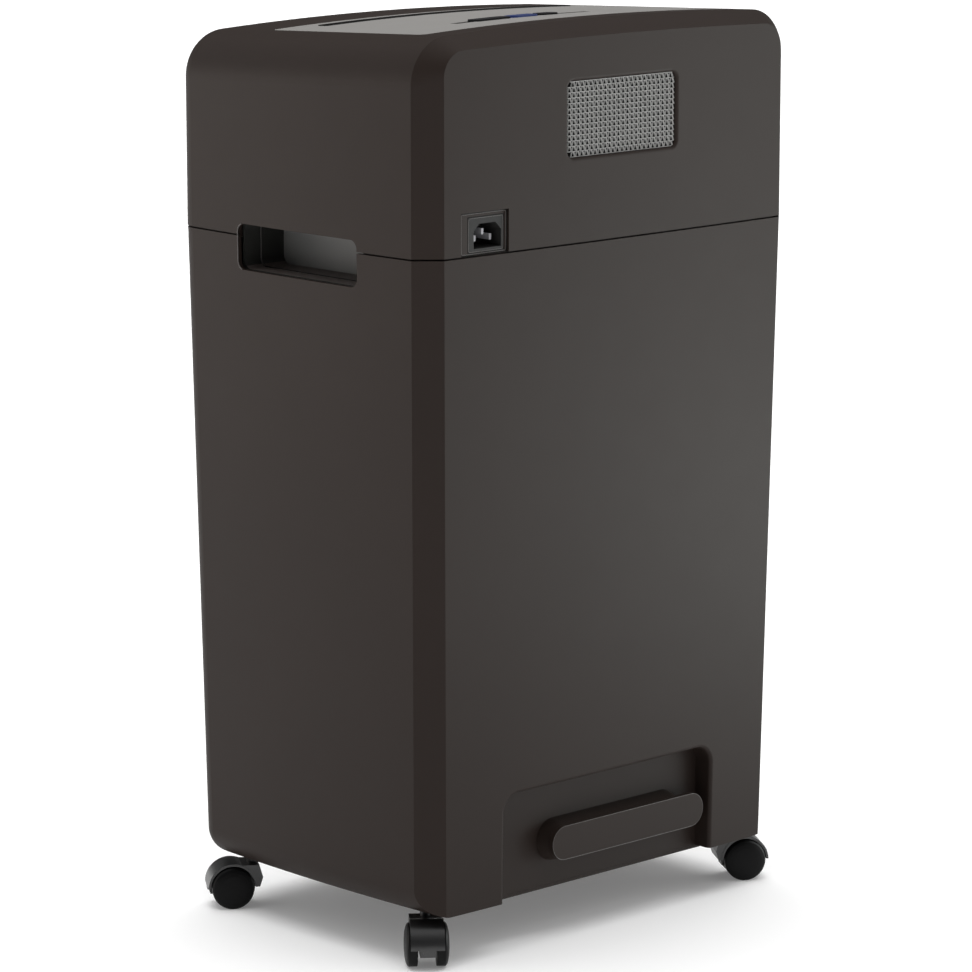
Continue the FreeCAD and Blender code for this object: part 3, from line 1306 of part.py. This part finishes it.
def make_casters():
    for name, x, y, angle in (("front_right_caster", 1, -1, -33.0), ("rear_right_caster", 1, 1, 51.0),
                              ("rear_left_caster", -1, 1, 147.0), ("front_left_caster", -1, -1, 213.0)):
        make_caster(name, x, y, angle)
    sockets = []
    for x in (-1, 1):
        for y in (-1, 1):
            tag = "%d_%d" % (x + 1, y + 1)
            place = ("%d * caster_x" % x, "%d * caster_y" % y)
            tube = cylinder("socket_tube_" + tag, "socket_radius", "socket_top_z - socket_bottom_z",
                            place + ("socket_bottom_z",))
            hole = cylinder("socket_bore_" + tag, "stem_radius + running_gap",
                            "stem_top_z + 0.2 - socket_bottom_z + 5", place + ("socket_bottom_z - 5",))
            sockets.append(cut("socket_" + tag, tube, hole))
    node(group("caster_sockets", *sockets), "caster_sockets")


# ---------------------------------------------------------------- build and write

def check_document():
    """Stop if anything failed to build."""
    for obj in DOC.Objects:
        bad = [state for state in obj.State if state in ("Invalid", "Error")]
        if bad:
            raise RuntimeError("%s is %s" % (obj.Name, bad))
    for obj in NODES:
        if obj.Shape.isNull() or not obj.Shape.isValid() or not obj.Shape.Solids:
            raise RuntimeError("%s has no valid solid" % obj.Label)


def write_parts():
    os.makedirs("parts", exist_ok=True)
    for obj in NODES:
        obj.Shape.exportStep(os.path.join("parts", obj.Label + ".step"))
        print("%-24s solids %d  volume %.0f" % (obj.Label, len(obj.Shape.Solids), obj.Shape.Volume))


fill_sheet()
make_upper_casing()
make_top_panel()
make_feed_throat()
make_control_strip()
make_vent()
make_fan()
make_inlet()
make_roll("front_cutter_roll", -1, -134.5)
make_roll("rear_cutter_roll", 1, -143.5)
make_combs()
motor_axis_y = make_gears()
make_motor(motor_axis_y)
make_cutter_frame(motor_axis_y)
make_frame_screws()
make_chassis()
make_electrics()
make_grip_cups()
make_cabinet()
make_bin()
make_casters()
DOC.recompute()
check_document()
write_parts()
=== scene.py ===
import bpy
import json
import math
import random
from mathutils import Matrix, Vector


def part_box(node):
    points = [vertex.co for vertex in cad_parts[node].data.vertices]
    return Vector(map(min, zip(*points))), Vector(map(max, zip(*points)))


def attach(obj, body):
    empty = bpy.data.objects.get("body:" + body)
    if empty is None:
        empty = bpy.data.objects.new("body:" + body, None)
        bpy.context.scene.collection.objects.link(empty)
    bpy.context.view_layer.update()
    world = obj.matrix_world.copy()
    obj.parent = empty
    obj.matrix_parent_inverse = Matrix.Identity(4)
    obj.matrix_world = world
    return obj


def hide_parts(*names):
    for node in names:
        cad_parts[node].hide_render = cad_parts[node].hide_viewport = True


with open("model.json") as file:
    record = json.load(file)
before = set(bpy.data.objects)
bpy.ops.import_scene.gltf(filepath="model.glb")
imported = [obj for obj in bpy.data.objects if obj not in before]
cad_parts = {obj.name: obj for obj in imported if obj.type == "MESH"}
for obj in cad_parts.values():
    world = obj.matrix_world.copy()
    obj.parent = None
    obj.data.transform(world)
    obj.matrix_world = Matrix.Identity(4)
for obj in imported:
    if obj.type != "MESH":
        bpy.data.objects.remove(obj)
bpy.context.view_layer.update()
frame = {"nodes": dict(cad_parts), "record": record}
random.seed(7)
scene = bpy.context.scene


# ---------------------------------------------------------------- materials

def node_material(name):
    """New node material: returns it with its tree and its surface shader."""
    material = bpy.data.materials.new(name)
    material.use_nodes = True
    tree = material.node_tree
    tree.nodes.clear()
    output = tree.nodes.new("ShaderNodeOutputMaterial")
    shader = tree.nodes.new("ShaderNodeBsdfPrincipled")
    tree.links.new(shader.outputs["BSDF"], output.inputs["Surface"])
    return material, tree, shader


def noise(tree, coordinates, scale, detail=2.0, roughness=0.5):
    """Noise value, 0..1, over the given coordinates."""
    node = tree.nodes.new("ShaderNodeTexNoise")
    node.inputs["Scale"].default_value = scale
    node.inputs["Detail"].default_value = detail
    node.inputs["Roughness"].default_value = roughness
    tree.links.new(coordinates, node.inputs["Vector"])
    return node.outputs["Fac"]


def spread(tree, value, low, high):
    """Maps 0..1 onto low..high."""
    node = tree.nodes.new("ShaderNodeMapRange")
    node.inputs["To Min"].default_value = low
    node.inputs["To Max"].default_value = high
    tree.links.new(value, node.inputs["Value"])
    return node.outputs["Result"]


def moulded(name, color, rough, specular=0.5, grain=1400.0, relief=0.00003, wear=0.12, metallic=0.0):
    """Moulded or painted surface: fine grain, slow roughness drift and faint handling marks."""
    material, tree, shader = node_material(name)
    coordinates = tree.nodes.new("ShaderNodeTexCoord").outputs["Object"]
    broad = noise(tree, coordinates, 6.0, 3.0)
    fine = noise(tree, coordinates, grain, 2.0, 0.6)
    tint = tree.nodes.new("ShaderNodeMix")
    tint.data_type = "RGBA"
    tint.inputs["A"].default_value = (*[c * (1 - wear) for c in color], 1)
    tint.inputs["B"].default_value = (*[c * (1 + wear) for c in color], 1)
    tree.links.new(broad, tint.inputs["Factor"])
    tree.links.new(tint.outputs["Result"], shader.inputs["Base Color"])
    mixed = tree.nodes.new("ShaderNodeMath")
    mixed.operation = "MULTIPLY_ADD"
    mixed.inputs[1].default_value = 0.5
    tree.links.new(fine, mixed.inputs[0])
    tree.links.new(spread(tree, noise(tree, coordinates, 40.0, 4.0), 0.2, 0.5), mixed.inputs[2])
    tree.links.new(spread(tree, mixed.outputs[0], rough - 0.06, rough + 0.06),
                   shader.inputs["Roughness"])
    bump = tree.nodes.new("ShaderNodeBump")
    bump.inputs["Strength"].default_value = 0.5
    bump.inputs["Distance"].default_value = relief
    tree.links.new(fine, bump.inputs["Height"])
    tree.links.new(bump.outputs["Normal"], shader.inputs["Normal"])
    shader.inputs["Specular IOR Level"].default_value = specular
    shader.inputs["Metallic"].default_value = metallic
    return material


def glowing(name, color, light, power):
    """Translucent key over a lamp."""
    material = moulded(name, color, 0.3, 0.3)
    shader = [node for node in material.node_tree.nodes if node.type == "BSDF_PRINCIPLED"][0]
    shader.inputs["Emission Color"].default_value = (*light, 1)
    shader.inputs["Emission Strength"].default_value = power
    return material


def smoked_glass(name):
    """Smoked clear plastic: mostly a dark gloss, with the shreds behind it just showing."""
    material = moulded(name, (0.02, 0.02, 0.022), 0.1, 0.5, relief=0.00001)
    shader = [node for node in material.node_tree.nodes if node.type == "BSDF_PRINCIPLED"][0]
    shader.inputs["Transmission Weight"].default_value = 0.7
    return material


CASING = (0.0218, 0.0152, 0.0126)
MATERIALS = {
    "casing_plastic": moulded("casing plastic", CASING, 0.5, 0.135),
    "panel_grey": moulded("panel grey", (0.235, 0.228, 0.219), 0.5, 0.15),
    "grip_grey": moulded("grip grey", (0.028, 0.028, 0.026), 0.42, 0.2),
    # Lit copy of the grip plastic: painted light on the back walls of the grip pockets.
    "grip_back_painted_light": moulded("grip back painted light", (0.185, 0.184, 0.178), 0.45, 0.2),
    # Lit copy of the grip plastic: painted light on the floors and ceilings of the grip pockets.
    "grip_sill_painted_light": moulded("grip sill painted light", (0.105, 0.088, 0.082), 0.45, 0.2),
    "socket_grey": moulded("socket grey", (0.022, 0.0215, 0.021), 0.5, 0.15),
    # Near black; the black lines in gaps, grooves and the paper slot and the sheet behind the vent use it
    # as painted shade.
    "inner_black": moulded("inner black", (0.005, 0.0047, 0.0045), 0.5, 0.12),
    "vent_sheet": moulded("vent sheet", (0.40, 0.40, 0.39), 0.4, 0.3, wear=0.05),
    "cutter_steel": moulded("cutter steel", (0.35, 0.35, 0.35), 0.35, metallic=1.0),
    "gear_steel": moulded("gear steel", (0.45, 0.45, 0.46), 0.35, metallic=1.0),
    "gear_nylon": moulded("gear nylon", (0.7, 0.69, 0.64), 0.4),
    "bush_brass": moulded("bush brass", (0.72, 0.55, 0.25), 0.3, metallic=1.0),
    "pin_nickel": moulded("pin nickel", (0.34, 0.34, 0.36), 0.4, 0.4),
    "motor_can": moulded("motor enamel", (0.2, 0.2, 0.21), 0.4),
    "board_green": moulded("board green", (0.03, 0.12, 0.05), 0.35),
    "button_dark": moulded("button dark", (0.03, 0.03, 0.031), 0.6, 0.0),
    "button_lit": glowing("button lit", (0.010, 0.018, 0.06), (0.05, 0.11, 0.55), 0.12),
    "bin_plastic": moulded("bin plastic", (0.012, 0.012, 0.012), 0.5, 0.2),
    "window_clear": smoked_glass("window smoke"),
    "caster_black": moulded("caster black", (0.005, 0.005, 0.0053), 0.34, 0.8),
    "wheel_nylon": moulded("wheel nylon", (0.0026, 0.0026, 0.0028), 0.42, 0.14),
    "axle_steel": moulded("axle steel", (0.5, 0.5, 0.5), 0.3, metallic=1.0),
    # Lighter, glossier colour for the edge beads: painted highlight along rounded edges, with a random tone
    # drift.
    "painted_highlight_line": moulded("painted edge highlight", (0.06, 0.053, 0.050), 0.3, 0.45, wear=0.3),
}
# Reach of the painted light on the grip pockets' back walls.
GRIP_BACK_REACH = 0.145  # the back wall of each grip cup lies nearer the middle than this

SLOTS = {part["node"]: part["material_slot"] for part in frame["record"]["subparts"]}
for name, piece in frame["nodes"].items():
    piece.data.materials.clear()
    piece.data.materials.append(MATERIALS[SLOTS[name]])


def repaint(node, look, chosen):
    """Gives the chosen faces of a node another look."""
    mesh = frame["nodes"][node].data
    mesh.materials.append(MATERIALS[look])
    for polygon in mesh.polygons:
        if chosen(polygon):
            polygon.material_index = len(mesh.materials) - 1


# Painted light inside the grip pockets: lighter grey on faces that point up or down, lighter still on the
# back walls.
for cup in ("grip_cup_right", "grip_cup_left"):
    repaint(cup, "grip_sill_painted_light", lambda polygon: abs(polygon.normal.z) > 0.7)
    repaint(cup, "grip_back_painted_light",
            lambda polygon: abs(polygon.normal.x) > 0.9 and abs(polygon.center.x) < GRIP_BACK_REACH)
repaint("inlet_socket", "socket_grey", lambda polygon: True)


KEY_CAP = 0.002
KEY_LIFT = 0.0015


def lift_cap(node):
    """Raises the cap of a key until it stands proud of the panel."""
    piece = frame["nodes"][node]
    top = max(vertex.co.z for vertex in piece.data.vertices)
    group = piece.vertex_groups.new(name="cap")
    cap = [vertex.index for vertex in piece.data.vertices if vertex.co.z > top - KEY_CAP]
    group.add(cap, 1.0, "REPLACE")
    raised = piece.modifiers.new("cap", "DISPLACE")
    raised.direction = "Z"
    raised.mid_level = 0.0
    raised.strength = KEY_LIFT
    raised.vertex_group = "cap"


for key in ("reverse_button", "power_button", "forward_button"):
    lift_cap(key)


# ---------------------------------------------------------------- details

def mesh_piece(name, verts, faces, slot, smooth=False):
    """Piece of the casing from its own vertices and faces."""
    mesh = bpy.data.meshes.new(name)
    mesh.from_pydata(verts, [], faces)
    mesh.update()
    if smooth:
        for polygon in mesh.polygons:
            polygon.use_smooth = True
    piece = bpy.data.objects.new(name, mesh)
    scene.collection.objects.link(piece)
    mesh.materials.append(MATERIALS[slot])
    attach(piece, "casing")
    return piece


SHEET_THICK = 0.0004


def strand(verts, faces, start, end, out_low, out_high, half):
    """Flat strip between two points of the vent plane; its long edges stand out by different amounts."""
    along = Vector((end[0] - start[0], 0, end[1] - start[1])).normalized()
    side = Vector((-along.z, 0, along.x)) * half
    first = len(verts)
    for point in (start, end):
        middle = Vector((point[0], 0, point[1]))
        for sign, out in ((-1, out_low), (1, out_high)):
            for depth in (0.0, -SHEET_THICK):
                corner = middle + side * sign
                verts.append((corner.x, out + depth, corner.z))
    for quad in ((0, 2, 6, 4), (1, 5, 7, 3), (0, 4, 5, 1), (2, 3, 7, 6), (0, 1, 3, 2), (4, 6, 7, 5)):
        faces.append(tuple(first + index for index in quad))


def expanded_metal():
    """Slit and stretched sheet: rows of bonds, with slanting strands between them."""
    low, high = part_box("vent_mesh")
    centre_x = (low.x + high.x) / 2
    half_x = (high.x - low.x) / 2
    half_z = (high.z - low.z) / 2
    middle_z = (low.z + high.z) / 2
    front = high.y - 0.0002
    rows = 14
    row = 2 * half_z / rows
    pitch = 0.0042
    corner = 0.0045
    gap = 0.0004  # left between the strands and the opening
    lean = 0.0014  # how far a strand moves sideways from one row of bonds to the next
    second = 0.0024  # from a rising strand's foot to the head of the falling one
    uneven = 0.00012
    bond_half, rising_half, falling_half = 0.00024, 0.00027, 0.00020
    verts = []
    faces = []

    def reach(z):
        """Half width of the rounded opening at this height."""
        spare = abs(z) - (half_z - corner)
        if spare <= 0:
            return half_x
        return half_x - corner + math.sqrt(max(0.0, corner ** 2 - spare ** 2))

    for number in range(rows + 1):
        z = number * row - half_z
        limit = reach(z * 0.97) - gap / 2
        strand(verts, faces, (-limit, z), (limit, z), front - 0.0004, front, bond_half)
    for number in range(rows):
        z = number * row - half_z
        limit = reach(z + row / 2) - gap
        x = -limit
        while x < limit - 0.003:
            foot = x + random.uniform(-uneven, uneven)
            strand(verts, faces, (foot, z), (foot + lean, z + row),
                   front - 0.0007, front + 0.0001, rising_half)
            strand(verts, faces, (foot + second, z + row), (foot + second + lean, z),
                   front - 0.0002, front - 0.0009, falling_half)
            x += pitch
    verts = [(x + centre_x, y, z + middle_z) for x, y, z in verts]
    piece = mesh_piece("vent_metal", verts, faces, "vent_sheet")
    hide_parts("vent_mesh")


def vent_shade_backing():
    """Black sheet close behind the expanded metal: painted shade, so the holes show dark."""
    low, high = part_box("vent_mesh")
    steps = 12
    behind = 0.0012
    deepest = 0.0006
    verts = []
    faces = []
    for i in range(steps + 1):
        for j in range(steps + 1):
            x = low.x + (high.x - low.x) * i / steps
            z = low.z + (high.z - low.z) * j / steps
            sag = deepest * math.sin(math.pi * i / steps) * math.sin(math.pi * j / steps)
            verts.append((x, low.y - behind - sag, z))
    for i in range(steps):
        for j in range(steps):
            a = i * (steps + 1) + j
            faces.append((a, a + 1, a + steps + 2, a + steps + 1))
    piece = mesh_piece("vent_shade_sheet", verts, faces, "inner_black", smooth=True)
    solid = piece.modifiers.new("thickness", "SOLIDIFY")
    solid.thickness = 0.0004


def bead(name, points, radius, look="painted_highlight_line", closed=True):
    """Fine round line that follows an edge of the casing; its default colour is the painted highlight."""
    curve = bpy.data.curves.new(name, "CURVE")
    curve.dimensions = "3D"
    curve.bevel_depth = radius
    curve.bevel_resolution = 2
    spline = curve.splines.new("POLY")
    spline.points.add(len(points) - 1)
    for point, place in zip(spline.points, points):
        point.co = (*place, 1)
    spline.use_cyclic_u = closed
    shape = bpy.data.objects.new(name + "_curve", curve)
    scene.collection.objects.link(shape)
    mesh = bpy.data.meshes.new_from_object(shape.evaluated_get(bpy.context.evaluated_depsgraph_get()))
    bpy.data.objects.remove(shape)
    mesh.name = name
    for polygon in mesh.polygons:
        polygon.use_smooth = True
    piece = bpy.data.objects.new(name, mesh)
    scene.collection.objects.link(piece)
    mesh.materials.clear()
    mesh.materials.append(MATERIALS[look])
    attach(piece, "casing")


def snap(point, *names):
    """Nearest point on the surfaces of the named nodes."""
    places = [frame["nodes"][name].closest_point_on_mesh(Vector(point))[1] for name in names]
    return min(((place - Vector(point)).length, tuple(place)) for place in places)[1]


def rounded_outline(half_a, half_b, corner, steps=7):
    """Points of a rounded rectangle about its middle."""
    points = []
    for quarter in range(4):
        turn = quarter * math.pi / 2
        sign_a = 1 if quarter in (0, 3) else -1
        sign_b = 1 if quarter in (0, 1) else -1
        for step in range(steps):
            angle = turn + math.pi / 2 * step / (steps - 1)
            points.append((sign_a * (half_a - corner) + corner * math.cos(angle),
                           sign_b * (half_b - corner) + corner * math.sin(angle)))
    return points


def front_jamb(points, half_y):
    """The part of an outline along its front upright, from the bottom up: the only side where the painted
    highlights go.
    """
    width = 0.0055
    return sorted((point for point in points if point[1] < width - half_y), key=lambda point: point[2])


def grip_lines():
    """For each grip: a painted highlight on the rolled front edge and on the lap line half way in, both
    along the front upright only, and a black line as painted shade in the groove in the sill.
    """
    wall = 0.0022
    corner = 0.006
    face_x = 0.1785
    lap_x = 0.1565
    inset = 0.0001
    sill_depth = 0.0005
    for side, name in ((1, "right"), (-1, "left")):
        low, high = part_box("grip_cup_" + name)
        half_y = (high.y - low.y) / 2 - wall
        half_z = (high.z - low.z) / 2 - wall
        middle = (low.z + high.z) / 2
        rim = [snap((side * face_x, y, middle + z), "upper_casing", "cabinet_shell", "grip_cup_" + name)
               for y, z in rounded_outline(half_y, half_z, corner)]
        bead("grip_rim_highlight_" + name, front_jamb(rim, half_y), 0.00042, closed=False)
        lap = [(side * lap_x, y, middle + z)
               for y, z in rounded_outline(half_y - inset, half_z - inset, corner)]
        bead("grip_lap_highlight_" + name, front_jamb(lap, half_y), 0.00038, closed=False)
        # Black line in the sill's groove: painted shade.
        sill = sorted((point for point in lap if point[2] < middle - half_z + sill_depth),
                      key=lambda point: point[1])
        bead("grip_groove_shade_" + name, sill, 0.0005, look="inner_black", closed=False)


def inlet_lines():
    """A black line of painted shade for the gap, and a painted highlight on the rolled edge inside it,
    round the inlet's recess and round its flange.
    """
    lines = (("painted_highlight_line", 0.0008, "casing_plastic"), ("inner_black", 0.0001, "inner_black"))
    corner = 0.0012
    for name in ("inlet_bezel", "inlet_socket"):
        low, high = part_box(name)
        middle_x = (low.x + high.x) / 2
        middle_z = (low.z + high.z) / 2
        for look, inset, slot in lines:
            outline = rounded_outline((high.x - low.x) / 2 - inset, (high.z - low.z) / 2 - inset, corner, 4)
            points = [(middle_x + x, high.y, middle_z + z) for x, z in outline]
            bead(name + "_" + look, points, 0.00028, look=look)


def bar_edge_highlight():
    """Painted highlight on the rolled edge of the bar's rounded face."""
    low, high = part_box("cord_bar")
    centre_x = -0.019
    half_x = 0.074
    half_z = 0.012
    inset = 0.0002
    outline = rounded_outline(half_x - inset, half_z - inset, half_z - inset, 10)
    points = [(centre_x + x, high.y - 0.0001, (low.z + high.z) / 2 + z) for x, z in outline]
    bead("cord_bar_line", points, 0.00022)


def slot_shade_line():
    """Black line round the paper slot on the top panel: painted shade of the slot opening."""
    throat_low, throat_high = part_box("feed_throat")
    middle_y = (throat_low.y + throat_high.y) / 2
    half_x = 0.1155
    half_y = 0.0036
    above = 0.64
    steps = 24
    points = []
    for sign in (1, -1):
        for step in range(steps + 1):
            x = sign * (half_x - 2 * half_x * step / steps)
            points.append(snap((x, middle_y + sign * half_y, above), "top_panel"))
    bead("slot_painted_shade", points, 0.0007, look="inner_black")


expanded_metal()
vent_shade_backing()
grip_lines()
inlet_lines()
bar_edge_highlight()
slot_shade_line()


# ---------------------------------------------------------------- floor, light and camera

def floor():
    """Pale studio paper; its faint glow stands for light scattered inside the paper."""
    bpy.ops.mesh.primitive_plane_add(size=60, location=(0, 0, 0))
    plane = bpy.context.object
    plane.name = "studio_floor"
    material, tree, shader = node_material("studio paper")
    coordinates = tree.nodes.new("ShaderNodeTexCoord").outputs["Object"]
    tree.links.new(spread(tree, noise(tree, coordinates, 3.0), 0.85, 0.95), shader.inputs["Roughness"])
    shader.inputs["Base Color"].default_value = (0.9, 0.9, 0.9, 1)
    shader.inputs["Specular IOR Level"].default_value = 0.0
    shader.inputs["Emission Color"].default_value = (1, 1, 1, 1)
    shader.inputs["Emission Strength"].default_value = 0.15
    plane.data.materials.append(material)


def softbox(name, place, aim, width, height, power, color):
    """Panel light that is seen in reflections only."""
    data = bpy.data.lights.new(name, "AREA")
    data.shape = "RECTANGLE"
    data.size = width
    data.size_y = height
    data.energy = power
    data.color = color
    light = bpy.data.objects.new(name, data)
    scene.collection.objects.link(light)
    light.location = place
    light.rotation_euler = (Vector(aim) - Vector(place)).to_track_quat("-Z", "Y").to_euler()
    light.visible_camera = False
    light.visible_diffuse = False


def overhead(power, angle, toward):
    """Wide soft light from above and a little behind; it gives no highlights."""
    data = bpy.data.lights.new("overhead", "SUN")
    data.energy = power
    data.angle = math.radians(angle)
    light = bpy.data.objects.new("overhead", data)
    scene.collection.objects.link(light)
    light.rotation_euler = Vector(toward).to_track_quat("-Z", "Y").to_euler()
    light.visible_glossy = False


def studio_world(bright, dark, axis):
    """Even white room that is darker at both ends of one horizontal axis."""
    world = bpy.data.worlds.new("studio")
    scene.world = world
    world.use_nodes = True
    tree = world.node_tree
    across = tree.nodes.new("ShaderNodeVectorMath")
    across.operation = "DOT_PRODUCT"
    across.inputs[1].default_value = axis
    tree.links.new(tree.nodes.new("ShaderNodeTexCoord").outputs["Generated"], across.inputs[0])
    size = tree.nodes.new("ShaderNodeMath")
    size.operation = "ABSOLUTE"
    tree.links.new(across.outputs["Value"], size.inputs[0])
    ramp = tree.nodes.new("ShaderNodeMapRange")
    ramp.interpolation_type = "SMOOTHSTEP"
    ramp.inputs["From Min"].default_value = 0.35
    ramp.inputs["From Max"].default_value = 0.9
    ramp.inputs["To Min"].default_value = bright
    ramp.inputs["To Max"].default_value = dark
    tree.links.new(size.outputs[0], ramp.inputs["Value"])
    tree.links.new(ramp.outputs["Result"], tree.nodes["Background"].inputs["Strength"])
    tree.nodes["Background"].inputs["Color"].default_value = (1, 1, 1, 1)


floor()
studio_world(0.85, 0.10, (0.69, 0.72, 0.08))
overhead(2.3, 65, (0.09, 0.10, -1.0))
softbox("box_left", (1.7, -1.9, 0.45), (0, 0, 0.3), 1.6, 0.9, 10.0, (1.0, 0.89, 0.79))
softbox("box_right", (-0.64, 0.54, 0.27), (-0.05, 0.12, 0.25), 0.4, 1.2, 5.1, (0.93, 1.0, 0.98))
softbox("box_low", (-0.60, 0.52, 0.13), (-0.05, 0.12, 0.12), 0.4, 0.24, 1.15, (0.93, 1.0, 0.98))

camera_data = bpy.data.cameras.new("camera")
camera_data.lens = 162.3
camera_data.sensor_width = 36.0
camera = bpy.data.objects.new("camera", camera_data)
scene.collection.objects.link(camera)
camera.location = (2.0740, 2.1962, 0.8879)
target = Vector((0.00166, -0.00157, 0.29434))
camera.rotation_euler = (target - camera.location).to_track_quat("-Z", "Y").to_euler()
scene.camera = camera
scene.view_settings.view_transform = "Standard"
scene.view_settings.look = "None"
